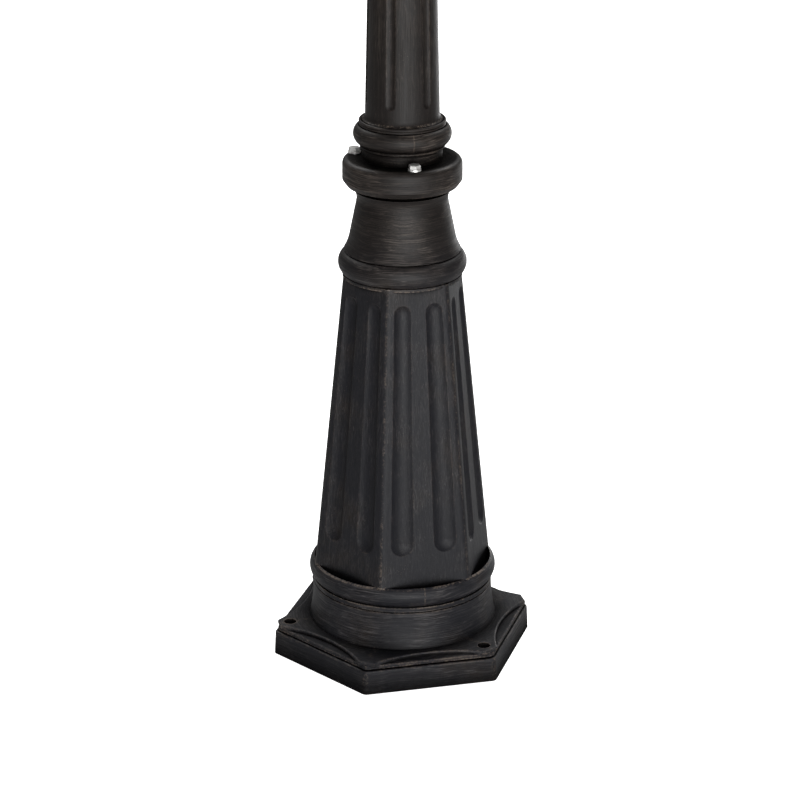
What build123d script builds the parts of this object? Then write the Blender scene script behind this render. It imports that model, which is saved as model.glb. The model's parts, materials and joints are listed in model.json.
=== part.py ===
from build123d import *
from math import cos, radians, sin, sqrt
import os

# Garden lamp post in millimetres: +Z up, origin on the ground at the post's axis.
# A corner of the hexagonal plinth points along +X and the lantern's hinge is on +Y.

# Shared fits and castings
slip_fit = 0.15
pane_gap = 0.2
casting_wall = 6.0
soft_edge = 1.5
sides = 6
side_step = 360 / sides

# Plinth: skirt, band, star plate, drum and torus
skirt_corner_r = 130.9
skirt_draft = 1.2
skirt_height = 23.7
skirt_corner_round = 6.0
band_corner_r = 127.0
band_height = 4.8
star_tip_r = 125.0
star_tip_width = 15.0
star_waist_r = 100.5
star_thickness = 3.8
drum_foot_r = 92.0
drum_waist_r = 87.8
drum_height = 36.7
drum_bow = 1.0
groove_size = 1.2
fillet_height = 5.7
torus_circle_r = 80.1
torus_tube_r = 11.5
torus_rise = 9.8
socket_r = 86.5
socket_depth = 11.5
deck_thickness = 6.0
anchor_count = 3
anchor_circle_r = 114.2
anchor_hole_r = 6.0
anchor_boss_r = 10.0

# Column: tapered hexagon, bead ring and conical neck
column_turn = 2.3
column_height = 305.5
column_foot_r = 91.1
column_top_r = 59.5
column_wall = 8.0
column_corner_round = 7.5
column_cap = 1.0
flute_foot_gap = 43.0
flute_head_gap = 16.0
flute_foot_width = 22.5
flute_head_width = 16.2
flute_foot_depth = 4.2
flute_head_depth = 3.2
flute_foot_pitch = 43.0
flute_head_pitch = 31.0
ring_band_r = 57.3
ring_band_height = 4.0
ring_foot_r = 57.4
ring_head_r = 55.0
ring_height = 21.0
ring_r = 61.5
neck_foot_r = 53.5
neck_head_r = 41.8
neck_height = 58.2
neck_bore_r = 36.0

# Collar: two flanges bolted together
cove_height = 6.0
cove_bow = 2.0
collar_edge_r = 53.0
collar_chamfer_height = 5.5
collar_r = 56.9
lower_flange_height = 7.3
upper_flange_height = 13.1
collar_round = 6.0
collar_spigot_length = 22.0
collar_bolt_count = 3
collar_bolt_circle_r = 47.4
collar_bolt_start = 30.0
collar_bolt_length = 22.0
collar_thread_spare = 1.5

# Foot of the upper post
foot_band_r = 38.0
foot_band_height = 10.2
foot_bead_r = 40.5
foot_bead_height = 4.0
foot_torus_r = 46.6
foot_torus_height = 18.0
foot_torus_foot_r = 41.0
foot_torus_head_r = 42.0
fine_bead_r = 41.2
fine_bead_height = 2.5
foot_bore_r = 29.0

# Shaft
flare_r = 38.5
flare_height = 6.5
flare_bow = 0.8
shaft_foot_r = 35.3
shaft_head_r = 18.2
shaft_length = 750.4
shaft_wall = 5.0
shaft_flute_turn = -2.5
shaft_flute_foot_width = 9.4
shaft_flute_head_width = 5.6
shaft_flute_depth = 1.9
shaft_flute_foot_gap = 19.0
shaft_flute_head_gap = 26.0
shaft_spigot_length = 44.0

# Capital and lantern cup
capital_bead_r = 25.0
capital_bead_height = 8.0
capital_neck_r = 18.5
capital_neck_height = 8.0
capital_flare_r = 33.0
capital_flare_height = 22.0
capital_bow = 3.0
capital_band_height = 6.0
capital_spigot_length = 25.0
cup_seat_r = 21.0
cup_seat_height = 28.0
cup_seat_room = 0.5
nut_room_r = 12.0
cup_wall = 6.0
cup_bead_r = 30.0
cup_bead_height = 7.0
cup_waist_r = 27.5
cup_waist_height = 11.0
cup_rim_r = 50.0
cup_rim_height = 3.0
cup_bow = 4.0
cup_floor = 20.0
fitter_screw_count = 3
fitter_screw_r = 3.0
fitter_head_r = 5.0
fitter_head_height = 4.0

# Lantern body
tray_lip = 4.0
tray_thickness = 5.0
cage_foot_r = 73.0
cage_head_r = 108.0
cage_height = 232.0
cage_wall = 4.5
cage_bar_width = 9.0
cage_foot_rail = 16.0
cage_head_rail = 20.0
head_flange_lip = 3.0
head_flange_height = 6.0
head_opening_inset = 16.0
cage_screw_r = 2.0
cage_screw_length = 12.0
cage_screw_inset = 7.0
pane_thickness = 3.0
pane_lap = 4.0
clip_width = 14.0
clip_height = 7.0
clip_thickness = 1.2

# Lamp
nipple_r = 5.0
nipple_bore_r = 3.5
nipple_above_tray = 11.0
nut_across_flats = 16.0
nut_height = 5.0
holder_r = 21.0
holder_height = 46.0
holder_floor = 12.0
shell_r = 15.0
shell_wall = 0.8
shell_height = 30.0
contact_r = 4.5
contact_height = 2.5
contact_room = 1.0
bulb_cap_r = 13.5
bulb_cap_height = 24.0
bulb_tip_r = 4.8
bulb_tip_height = 4.0
bulb_play = 0.3
bulb_r = 30.0
bulb_neck_r = 12.8
bulb_neck_height = 24.0
bulb_wall = 1.0
bulb_shoulder = 0.8
filament_r = 0.9
filament_length = 34.0
filament_circle_r = 7.0
stem_r = 3.2
terminal_width = 30.0
terminal_depth = 13.0
terminal_height = 11.0
terminal_inset = 17.0
terminal_ways = 3
terminal_hole_r = 1.8

# Roof, vent and finial
eave_lip = 11.0
eave_height = 6.0
roof_inner_r = 98.0
roof_mid_r = 76.0
roof_mid_height = 24.0
roof_head_r = 34.0
roof_height = 80.0
roof_wall = 3.0
vent_hole_r = 14.0
crown_r = 27.0
crown_height = 24.0
crown_wall = 3.0
crown_hole_r = 5.0
vent_cap_r = 36.0
vent_cap_height = 16.0
vent_cap_bow = 1.6
finial_foot_r = 11.0
finial_ball_r = 12.0
finial_neck_r = 5.0
finial_tip_r = 1.5
finial_height = 64.0
finial_bow = 1.5
finial_stud_r = 4.0
finial_stud_length = 10.0

# Hinge and thumb screw
pin_r = 1.6
knuckle_r = 3.2
knuckle_gap = 0.3
hinge_run = 0.05
roof_knuckle_length = 18.0
cage_knuckle_length = 10.0
hinge_rise = 3.0
hinge_arm_thickness = 3.0
thumb_screw_r = 2.5
thumb_room = 0.3
thumb_head_r = 7.0
thumb_head_height = 7.0
scallop_r = 1.7
thumb_pad_r = 7.5
thumb_pad_height = 10.0
thumb_inset = 8.0
thumb_reach = 7.0
lug_width = 16.0
lug_height = 8.0
lug_overhang = 5.5

# Small fasteners of the base
m6_r = 3.0
m6_across_flats = 10.0
m6_head_height = 4.0
m6_washer_r = 6.2
m6_washer_thickness = 1.6
m8_r = 4.0
m8_across_flats = 13.0
m8_head_height = 5.3
m8_washer_r = 8.0
m8_washer_thickness = 1.6
column_boss_r = 10.0
column_boss_height = 28.0
column_bolt_circle_r = 58.0
column_bolt_length = 30.0
grommet_hole_r = 20.0
grommet_lip = 5.0
grommet_lip_thickness = 3.0
grommet_bore_r = 6.0
earth_place = 42.0
earth_stud_length = 30.0
earth_nut_height = 5.0

# Sizes that follow from others
apothem = cos(radians(side_step / 2))
tray_corner_r = cage_foot_r + tray_lip
cage_screw_circle_r = cage_foot_r - cage_screw_inset
terminal_place = cage_foot_r * apothem - terminal_inset
head_flange_r = cage_head_r + head_flange_lip
head_opening_r = cage_head_r - head_opening_inset
eave_r = head_flange_r + eave_lip
thumb_place = eave_r * apothem - thumb_inset

# Levels, from the ground up
skirt_top = skirt_height
band_top = skirt_top + band_height
star_top = band_top + star_thickness
drum_top = star_top + drum_height
fillet_top = drum_top + fillet_height
torus_level = fillet_top + torus_rise
torus_lip = torus_level + sqrt(torus_tube_r**2 - (socket_r - torus_circle_r)**2)
deck_top = torus_lip - socket_depth
deck_bottom = deck_top - deck_thickness
column_top = deck_top + column_height
ring_base = column_top + column_cap
ring_top = ring_base + ring_height
neck_base = ring_top + groove_size
neck_top = neck_base + neck_height
cove_top = neck_top + cove_height
collar_base = cove_top + collar_chamfer_height
flange_seam = collar_base + lower_flange_height
collar_top = flange_seam + upper_flange_height
foot_bead_base = collar_top + foot_band_height
foot_torus_base = foot_bead_base + foot_bead_height
fine_bead_base = foot_torus_base + foot_torus_height
foot_top = fine_bead_base + 2 * fine_bead_height
shaft_top = foot_top + shaft_length
capital_neck_base = shaft_top + capital_bead_height
capital_flare_base = capital_neck_base + capital_neck_height
capital_band_base = capital_flare_base + capital_flare_height
capital_top = capital_band_base + capital_band_height
cup_floor_level = capital_top + cup_seat_height + cup_seat_room
cup_top = cup_floor_level + cup_floor
tray_top = cup_top + tray_thickness
cage_top = tray_top + cage_height
roof_top = cage_top + roof_height
crown_top = roof_top + crown_height
vent_cap_top = crown_top + vent_cap_height
holder_base = tray_top
socket_floor = holder_base + holder_floor
bulb_base = socket_floor + contact_height + bulb_play
bulb_cap_top = bulb_base + bulb_tip_height + bulb_cap_height
bulb_level = bulb_cap_top + bulb_neck_height + bulb_r / 2
hinge_y = eave_r * apothem + knuckle_r + knuckle_gap
hinge_z = cage_top + hinge_rise


def polar(radius, angle, level=0.0):
    # Point at a radius and an angle round the post's axis.
    return Vector(radius * cos(radians(angle)), radius * sin(radians(angle)), level)


def round_about(piece, count, start=0.0):
    # Copies of a piece turned evenly round the post's axis.
    return [Rot(0, 0, start + i * 360 / count) * piece for i in range(count)]


def hexagon(corner_r, level, turn=0.0):
    # Hexagon with a corner on +X before it is turned.
    return Pos(0, 0, level) * Rot(0, 0, turn) * RegularPolygon(corner_r, sides)


def hex_taper(foot_r, foot_level, head_r, head_level, turn=0.0):
    return loft([hexagon(foot_r, foot_level, turn), hexagon(head_r, head_level, turn)])


def soft_hex(foot_r, foot_level, head_r, head_level, corner_round, turn=0.0):
    # Tapered hexagonal block with rounded corners.
    body = hex_taper(foot_r, foot_level, head_r, head_level, turn)
    upright = [edge for edge in body.edges() if abs(edge.tangent_at(0).Z) > apothem]
    return fillet(upright, corner_round)


def bent(start, end, bow):
    # Arc between two points of an outline, its middle so far to the left of the straight line.
    along = Vector(*end) - Vector(*start)
    across = Vector(-along.Y, along.X).normalized()
    return ThreePointArc(start, Vector(*start) + along / 2 + across * bow, end)


def rod(radius, low, high, x=0.0, y=0.0):
    # Upright round bar between two levels.
    bar = Cylinder(radius, high - low, align=(Align.CENTER, Align.CENTER, Align.MIN))
    return Pos(x, y, low) * bar


def turned(*edges):
    # Solid turned round the post's axis from an outline of radius and height.
    outline = Plane.XZ * make_face(Curve() + list(edges))
    return revolve(outline, Axis.Z)


def tapered_rod(start, end, start_r, end_r):
    # Rod with round ends, the cutter of a flute.
    length = (end - start).length
    half = 1 / sqrt(2)
    foot = ThreePointArc((0, -start_r), (start_r * half, -start_r * half), (start_r, 0))
    flank = Line((start_r, 0), (end_r, length))
    head = ThreePointArc((end_r, length), (end_r * half, length + end_r * half), (0, length + end_r))
    spine = Line((0, length + end_r), (0, -start_r))
    return Plane(origin=start, z_dir=end - start) * turned(foot, flank, head, spine)


def arc_r(width, depth):
    # Radius of the arc that is so wide and so deep.
    return (width**2 / 4 + depth**2) / (2 * depth)


def hex_head(across_flats, height, level):
    corner_r = across_flats / 2 / apothem
    return extrude(hexagon(corner_r, level), height)


def star_plate():
    # Thin plate with six blunt tips and hollow sides.
    half_tip = star_tip_width / 2
    edges = []
    for i in range(sides):
        out = polar(star_tip_r, i * side_step)
        across = polar(half_tip, i * side_step + 90)
        beyond = polar(star_tip_r, (i + 1) * side_step) - polar(half_tip, (i + 1) * side_step + 90)
        edges.append(Line(out - across, out + across))
        edges.append(ThreePointArc(out + across, polar(star_waist_r, (i + 0.5) * side_step), beyond))
    plate = extrude(Pos(0, 0, band_top) * make_face(Curve() + edges), star_thickness)
    return fillet(plate.edges().group_by(Axis.Z)[-1], soft_edge)


def drum_and_torus():
    # Flared drum, two fine grooves and the half-round torus with its socket.
    start_x = torus_circle_r + sqrt(torus_tube_r**2 - torus_rise**2)
    notch = drum_waist_r - groove_size
    half = groove_size / 2
    flank = bent((drum_foot_r, star_top), (drum_waist_r, drum_top - half), drum_bow)
    grooves = Polyline((drum_waist_r, drum_top - half), (notch, drum_top), (drum_waist_r, drum_top + half),
                       (drum_waist_r, fillet_top - half), (notch, fillet_top - half), (start_x, fillet_top))
    crest = ThreePointArc((start_x, fillet_top), (torus_circle_r + torus_tube_r, torus_level),
                          (socket_r, torus_lip))
    inside = Polyline((socket_r, torus_lip), (socket_r, deck_top), (0, deck_top), (0, star_top),
                      (drum_foot_r, star_top))
    return turned(flank, grooves, crest, inside)


def plinth_casting():
    skirt = soft_hex(skirt_corner_r, 0, skirt_corner_r - skirt_draft, skirt_top, skirt_corner_round)
    skirt = fillet(skirt.edges().group_by(Axis.Z)[-1], soft_edge)
    groove_top = skirt_top + groove_size
    band = soft_hex(band_corner_r, groove_top, band_corner_r, band_top, skirt_corner_round)
    band = chamfer(band.edges().group_by(Axis.Z)[-1], groove_size / 2)
    band += extrude(hexagon(band_corner_r - 2 * groove_size, skirt_top), groove_size)
    body = skirt + band + star_plate() + drum_and_torus()
    hollow = extrude(hexagon(skirt_corner_r - casting_wall / apothem, 0), band_top - casting_wall / 2)
    body -= fillet(hollow.edges().filter_by(Axis.Z), skirt_corner_round / 2)
    body -= rod(drum_waist_r - casting_wall - groove_size, 0, deck_bottom)
    for place in round_about(Pos(anchor_circle_r, 0, 0), anchor_count, side_step):
        body += place * rod(anchor_boss_r, 0, band_top)
        body -= place * rod(anchor_hole_r, 0, star_top)
    for place in round_about(Pos(column_bolt_circle_r, 0, 0), anchor_count, column_turn):
        body -= place * rod(m8_r + slip_fit, deck_bottom, deck_top)
    body -= rod(grommet_hole_r, deck_bottom, deck_top)
    body -= rod(m6_r + slip_fit, deck_bottom, deck_top, 0, -earth_place)
    return body


def column_corner_r(level):
    # Radius of the column's corners at a level.
    share = (level - deck_top) / column_height
    return column_foot_r + (column_top_r - column_foot_r) * share


def column_flute(face, side):
    # Cutter of one flute, laid along a face of the column.
    facing = column_turn + (face + 0.5) * side_step
    low = deck_top + flute_foot_gap + flute_foot_width / 2
    high = column_top - flute_head_gap - flute_head_width / 2
    points = []
    radii = []
    for level, width, depth, pitch in ((low, flute_foot_width, flute_foot_depth, flute_foot_pitch),
                                       (high, flute_head_width, flute_head_depth, flute_head_pitch)):
        radius = arc_r(width, depth)
        out = column_corner_r(level) * apothem + radius - depth
        points.append(polar(out, facing, level) + polar(side * pitch / 2, facing + 90))
        radii.append(radius)
    return tapered_rod(points[0], points[1], radii[0], radii[1])


def torus_seat():
    # Room for the plinth's torus, so that the column's corners lap over it.
    spigot_r = socket_r - slip_fit
    outer = torus_tube_r + slip_fit
    outer_r = torus_circle_r + outer
    rest = torus_level + sqrt(outer**2 - (spigot_r - torus_circle_r)**2)
    half = outer / sqrt(2)
    lap = ThreePointArc((spigot_r, rest), (torus_circle_r + half, torus_level + half), (outer_r, torus_level))
    below = Polyline((outer_r, torus_level), (outer_r, deck_bottom), (spigot_r, deck_bottom),
                     (spigot_r, rest))
    return turned(lap, below)


def column_casting():
    body = soft_hex(column_foot_r, deck_top, column_top_r, column_top, column_corner_round, column_turn)
    body -= torus_seat()
    for face in range(sides):
        for side in (-1, 1):
            body -= column_flute(face, side)
    ring_mid = ring_base + ring_height / 2
    band_base = ring_base - ring_band_height
    lower = Polyline((0, band_base), (ring_band_r, band_base), (ring_band_r, ring_base - groove_size),
                     (ring_band_r - groove_size, ring_base), (ring_foot_r, ring_base))
    bead = ThreePointArc((ring_foot_r, ring_base), (ring_r, ring_mid), (ring_head_r, ring_top))
    upper = Polyline((ring_head_r, ring_top), (neck_foot_r - groove_size, ring_top), (neck_foot_r, neck_base),
                     (neck_head_r, neck_top), (0, neck_top), (0, band_base))
    body += turned(lower, bead, upper)
    core_top = column_top - column_wall
    body -= hex_taper(column_foot_r - column_wall / apothem, deck_top,
                      column_corner_r(core_top) - column_wall / apothem, core_top, column_turn)
    body -= rod(neck_bore_r, core_top, neck_top)
    for place in round_about(Pos(column_bolt_circle_r, 0, 0), anchor_count, column_turn):
        boss = rod(column_boss_r, deck_top, deck_top + column_boss_height)
        web = Pos(0, -column_boss_r / 2, deck_top) * Box(
            column_foot_r - column_wall - column_bolt_circle_r, column_boss_r, column_boss_height,
            align=(Align.MIN, Align.MIN, Align.MIN))
        body += place * (boss + web)
        body -= place * rod(m8_r + slip_fit, deck_top, deck_top + column_boss_height)
    return body


def bolt_places():
    return round_about(Pos(collar_bolt_circle_r, 0, 0), collar_bolt_count, collar_bolt_start)


def collar_flange():
    # Cove and lower flange, with a spigot that goes down into the neck.
    spigot_r = neck_bore_r - slip_fit
    cove = bent((neck_head_r, neck_top), (collar_edge_r, cove_top), cove_bow)
    spigot_base = neck_top - collar_spigot_length
    rest = Polyline((collar_edge_r, cove_top), (collar_r, collar_base), (collar_r, flange_seam),
                    (foot_bore_r, flange_seam), (foot_bore_r, spigot_base), (spigot_r, spigot_base),
                    (spigot_r, neck_top), (neck_head_r, neck_top))
    body = turned(cove, rest)
    depth = collar_bolt_length + collar_thread_spare - upper_flange_height - m6_washer_thickness
    for place in bolt_places():
        body -= place * rod(m6_r + slip_fit, flange_seam - depth, flange_seam)
    return body


def post_foot():
    # Upper flange, band, bead, torus and two fine beads.
    round_in = collar_r - collar_round
    corner = collar_round / sqrt(2)
    torus_mid = foot_torus_base + foot_torus_height / 2
    half_bead = foot_bead_height / 2
    edges = [
        Polyline((foot_bore_r, flange_seam), (collar_r, flange_seam), (collar_r, collar_top - collar_round)),
        ThreePointArc((collar_r, collar_top - collar_round),
                      (round_in + corner, collar_top - collar_round + corner), (round_in, collar_top)),
        Polyline((round_in, collar_top), (foot_band_r, collar_top), (foot_band_r, foot_bead_base)),
        ThreePointArc((foot_band_r, foot_bead_base), (foot_bead_r, foot_bead_base + half_bead),
                      (foot_band_r, foot_torus_base)),
        Line((foot_band_r, foot_torus_base), (foot_torus_foot_r, foot_torus_base)),
        ThreePointArc((foot_torus_foot_r, foot_torus_base), (foot_torus_r, torus_mid),
                      (foot_torus_head_r, fine_bead_base)),
        Line((foot_torus_head_r, fine_bead_base), (flare_r, fine_bead_base))]
    for i in range(2):
        base = fine_bead_base + i * fine_bead_height
        edges.append(ThreePointArc((flare_r, base), (fine_bead_r, base + fine_bead_height / 2),
                                   (flare_r, base + fine_bead_height)))
    edges.append(Polyline((flare_r, foot_top), (foot_bore_r, foot_top), (foot_bore_r, flange_seam)))
    body = turned(*edges)
    for place in bolt_places():
        body -= place * rod(m6_r + slip_fit, flange_seam, collar_top)
    return body


def shaft_r(level):
    # Radius of the tapered shaft at a level.
    return shaft_foot_r + (shaft_head_r - shaft_foot_r) * (level - foot_top) / shaft_length


def post_shaft():
    spigot_r = foot_bore_r - slip_fit
    spigot_base = foot_top - shaft_spigot_length
    flare_top = foot_top + flare_height
    bore_foot = spigot_r - shaft_wall
    bore_head = shaft_head_r - shaft_wall
    throat = shaft_r(flare_top)
    flare = bent((flare_r, foot_top), (throat, flare_top), flare_bow)
    rest = Polyline((throat, flare_top), (shaft_head_r, shaft_top), (bore_head, shaft_top),
                    (bore_foot, foot_top), (bore_foot, spigot_base), (spigot_r, spigot_base),
                    (spigot_r, foot_top), (flare_r, foot_top))
    body = turned(flare, rest)
    low = foot_top + shaft_flute_foot_gap + shaft_flute_foot_width / 2
    high = shaft_top - shaft_flute_head_gap - shaft_flute_head_width / 2
    low_r = arc_r(shaft_flute_foot_width, shaft_flute_depth)
    high_r = arc_r(shaft_flute_head_width, shaft_flute_depth)
    start = Vector(shaft_r(low) + low_r - shaft_flute_depth, 0, low)
    end = Vector(shaft_r(high) + high_r - shaft_flute_depth, 0, high)
    for cutter in round_about(tapered_rod(start, end, low_r, high_r), sides, shaft_flute_turn):
        body -= cutter
    return body


def flange_bolts():
    under_head = collar_top + m6_washer_thickness
    bolt = rod(m6_r, under_head - collar_bolt_length, under_head)
    head = hex_head(m6_across_flats, m6_head_height, under_head)
    bolt += chamfer(head.edges().group_by(Axis.Z)[-1], m6_head_height / 6)
    return [place * bolt for place in bolt_places()]


def flange_washers():
    top = collar_top + m6_washer_thickness
    washer = rod(m6_washer_r, collar_top, top) - rod(m6_r + slip_fit, collar_top, top)
    return [place * washer for place in bolt_places()]


def column_bolts():
    # Bolts that hold the column down on the deck, driven from below.
    under_head = deck_bottom - m8_washer_thickness
    bolt = rod(m8_r, under_head, under_head + column_bolt_length)
    bolt += hex_head(m8_across_flats, m8_head_height, under_head - m8_head_height)
    return round_about(Pos(column_bolt_circle_r, 0, 0) * bolt, anchor_count, column_turn)


def column_washers():
    base = deck_bottom - m8_washer_thickness
    washer = rod(m8_washer_r, base, deck_bottom) - rod(m8_r + slip_fit, base, deck_bottom)
    return round_about(Pos(column_bolt_circle_r, 0, 0) * washer, anchor_count, column_turn)


def cable_grommet():
    # Rubber ring with a lip on both sides of the deck.
    lip_r = grommet_hole_r + grommet_lip
    body = rod(grommet_hole_r, deck_bottom, deck_top)
    body += rod(lip_r, deck_bottom - grommet_lip_thickness, deck_bottom)
    body += rod(lip_r, deck_top, deck_top + grommet_lip_thickness)
    return body - rod(grommet_bore_r, deck_bottom - grommet_lip_thickness, deck_top + grommet_lip_thickness)


def earth_stud():
    stud = rod(m6_r, deck_top - earth_stud_length, deck_top, 0, -earth_place)
    return stud + Pos(0, -earth_place, 0) * hex_head(m6_across_flats, m6_head_height, deck_top)


def earth_nuts():
    # One nut clamps the stud in the deck, the lower one clamps the earth lead.
    nuts = []
    for i in range(2):
        base = deck_bottom - (i + 1) * earth_nut_height
        nut = hex_head(m6_across_flats, earth_nut_height, base)
        nut -= rod(m6_r + slip_fit, base, base + earth_nut_height)
        nuts.append(Pos(0, -earth_place, 0) * nut)
    return nuts


def shaft_capital():
    # Bead, neck and flare on the shaft's head, with a seat for the lantern cup.
    spigot_r = shaft_head_r - shaft_wall - slip_fit
    spigot_base = shaft_top - capital_spigot_length
    bead_mid = shaft_top + capital_bead_height / 2
    bead_in = capital_bead_r - capital_bead_height / 2
    edges = [
        Line((bead_in, shaft_top), (spigot_r, shaft_top)),
        Polyline((spigot_r, shaft_top), (spigot_r, spigot_base), (nipple_r + cup_wall, spigot_base),
                 (nipple_r + cup_wall, capital_top), (nut_room_r, capital_top),
                 (nut_room_r, capital_top + cup_seat_height), (cup_seat_r, capital_top + cup_seat_height),
                 (cup_seat_r, capital_top), (capital_flare_r, capital_top),
                 (capital_flare_r, capital_band_base)),
        bent((capital_flare_r, capital_band_base), (capital_neck_r, capital_flare_base), -capital_bow),
        Polyline((capital_neck_r, capital_flare_base), (capital_neck_r, capital_neck_base),
                 (bead_in, capital_neck_base)),
        ThreePointArc((bead_in, capital_neck_base), (capital_bead_r, bead_mid), (bead_in, shaft_top))]
    return turned(*edges)


def lantern_cup():
    # Cup that drops over the capital's seat and spreads out under the tray.
    socket = cup_seat_r + slip_fit
    bead_mid = capital_top + cup_bead_height / 2
    bead_in = cup_bead_r - cup_bead_height / 2
    waist_base = capital_top + cup_bead_height
    waist_top = waist_base + cup_waist_height
    rim_base = cup_top - cup_rim_height
    edges = [
        ThreePointArc((bead_in, capital_top), (cup_bead_r, bead_mid), (bead_in, waist_base)),
        Polyline((bead_in, waist_base), (cup_waist_r, waist_base), (cup_waist_r, waist_top)),
        bent((cup_waist_r, waist_top), (cup_rim_r, rim_base), cup_bow),
        Polyline((cup_rim_r, rim_base), (cup_rim_r, cup_top), (nipple_r + slip_fit, cup_top),
                 (nipple_r + slip_fit, cup_floor_level), (socket, cup_floor_level), (socket, capital_top),
                 (bead_in, capital_top))]
    body = turned(*edges)
    for place in fitter_places():
        body -= place * rod(fitter_screw_r + slip_fit, cup_seat_r, cup_bead_r)
    return body


def fitter_places():
    # Axes that point outwards through the waist of the lantern cup.
    level = capital_top + cup_bead_height + cup_waist_height / 2
    return round_about(Pos(0, 0, level) * Rot(0, 90, 0), fitter_screw_count, side_step / 2)


def fitter_screws():
    seat = cup_seat_r + slip_fit
    screw = rod(fitter_screw_r, seat, cup_waist_r)
    screw += rod(fitter_head_r, cup_waist_r, cup_waist_r + fitter_head_height)
    return [place * screw for place in fitter_places()]


def cage_screw_places():
    return round_about(Pos(cage_screw_circle_r, 0, 0), sides)


def lantern_tray():
    body = extrude(hexagon(tray_corner_r, cup_top), tray_thickness)
    body = fillet(body.edges().group_by(Axis.Z)[-1], soft_edge)
    body -= rod(nipple_r + slip_fit, cup_top, tray_top)
    for place in cage_screw_places():
        body -= place * rod(cage_screw_r + slip_fit, cup_top, tray_top)
    return body


def cage_r(level):
    # Outer corner radius of the cage at a level.
    return cage_foot_r + (cage_head_r - cage_foot_r) * (level - tray_top) / cage_height


def cage_slope():
    # Plane of the cage's outer face towards +Y: X across, Y up along the slope, Z out.
    foot = Vector(0, cage_foot_r * apothem, tray_top)
    head = Vector(0, cage_head_r * apothem, cage_top)
    return Plane(origin=foot, x_dir=(-1, 0, 0), z_dir=Vector(-1, 0, 0).cross(head - foot))


def cage_panel(low, high, inset, depth, thickness):
    # Panel in the slope's plane between two levels, so far in from the corner lines.
    rise = sqrt(cage_height**2 + ((cage_head_r - cage_foot_r) * apothem)**2) / cage_height
    corners = []
    for level in (low, high):
        half = cage_r(level) / 2 - inset
        corners.append((half, (level - tray_top) * rise))
    (low_x, low_y), (high_x, high_y) = corners
    outline = Polyline((-low_x, low_y), (low_x, low_y), (high_x, high_y), (-high_x, high_y), close=True)
    return cage_slope() * Pos(0, 0, -depth) * extrude(make_face(outline), -thickness)


def lantern_cage():
    # Six-sided tapered frame with an open window in each face.
    inner = cage_wall / apothem
    body = hex_taper(cage_foot_r, tray_top, cage_head_r, cage_top)
    body -= hex_taper(cage_foot_r - inner, tray_top, cage_head_r - inner, cage_top)
    flange_base = cage_top - head_flange_height
    flange = extrude(hexagon(head_flange_r, flange_base), head_flange_height)
    body += flange - extrude(hexagon(head_opening_r, flange_base), head_flange_height)
    window = cage_panel(tray_top + cage_foot_rail, cage_top - cage_head_rail, cage_bar_width,
                        -cage_wall, 3 * cage_wall)
    for cutter in round_about(window, sides):
        body -= cutter
    lug_depth = thumb_place + lug_overhang - head_flange_r * apothem
    lug = Pos(0, -head_flange_r * apothem, cage_top) * Box(
        lug_width, lug_depth, lug_height, align=(Align.CENTER, Align.MAX, Align.MAX))
    body += lug
    body -= rod(thumb_screw_r + thumb_room, cage_top - lug_height, cage_top, 0, -thumb_place)
    for place in cage_screw_places():
        lug = rod(2 * cage_screw_r, tray_top, tray_top + cage_screw_length)
        body += place * lug
        body -= place * rod(cage_screw_r + slip_fit, tray_top, tray_top + cage_screw_length)
    return body


def cage_screws():
    # Countersunk from below, through the tray into the cage's corner lugs.
    screw = rod(cage_screw_r, cup_top, tray_top + cage_screw_length - 2 * cage_screw_r)
    screw += rod(2 * cage_screw_r, cup_top - cage_screw_r, cup_top)
    return [place * screw for place in cage_screw_places()]


def glass_panes():
    inset = cage_bar_width - pane_lap
    pane = cage_panel(tray_top + cage_foot_rail - pane_lap, cage_top - cage_head_rail + pane_lap,
                      inset + cage_wall, cage_wall + pane_gap, pane_thickness)
    return round_about(pane, sides)


def pane_clips():
    # Stepped clip over the top edge of each pane.
    rise = sqrt(cage_height**2 + ((cage_head_r - cage_foot_r) * apothem)**2) / cage_height
    edge = (cage_height - cage_head_rail + pane_lap) * rise + pane_gap
    depth = pane_thickness + 2 * pane_gap
    block = Pos(0, edge, -cage_wall) * Box(
        clip_width, clip_height, depth, align=(Align.CENTER, Align.MIN, Align.MAX))
    finger = Pos(0, edge - clip_height, -cage_wall - depth) * Box(
        clip_width, 2 * clip_height, clip_thickness, align=(Align.CENTER, Align.MIN, Align.MAX))
    return round_about(cage_slope() * (block + finger), sides)


def lamp_nipple():
    # Threaded tube that holds cup, tray and lamp holder together.
    low = cup_floor_level - nut_height
    high = tray_top + nipple_above_tray
    return rod(nipple_r, low, high) - rod(nipple_bore_r, low, high)


def nipple_nut():
    base = cup_floor_level - nut_height
    return hex_head(nut_across_flats, nut_height, base) - rod(nipple_r + slip_fit, base, cup_floor_level)


def lamp_holder():
    top = holder_base + holder_height
    body = rod(holder_r, holder_base, top)
    body = fillet(body.edges().group_by(Axis.Z)[-1], soft_edge)
    body -= rod(shell_r + slip_fit, socket_floor, top)
    return body - rod(nipple_r + slip_fit, holder_base, socket_floor)


def socket_shell():
    top = socket_floor + shell_height
    return rod(shell_r, socket_floor, top) - rod(shell_r - shell_wall, socket_floor + shell_wall, top) \
        - rod(contact_r + contact_room, socket_floor, socket_floor + shell_wall)


def centre_contact():
    # Disc with a foot in the end of the threaded tube.
    foot = rod(nipple_bore_r - slip_fit, socket_floor - contact_height, socket_floor)
    return foot + rod(contact_r, socket_floor, socket_floor + contact_height)


def bulb_cap():
    tip_top = bulb_base + bulb_tip_height
    inner_r = bulb_cap_r - bulb_wall
    floor = bulb_cap_top - bulb_tip_height
    cone = Polyline((0, bulb_base), (bulb_tip_r, bulb_base), (bulb_cap_r, tip_top),
                    (bulb_cap_r, bulb_cap_top), (inner_r, bulb_cap_top), (inner_r, floor), (0, floor),
                    close=True)
    return turned(cone)


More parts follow.
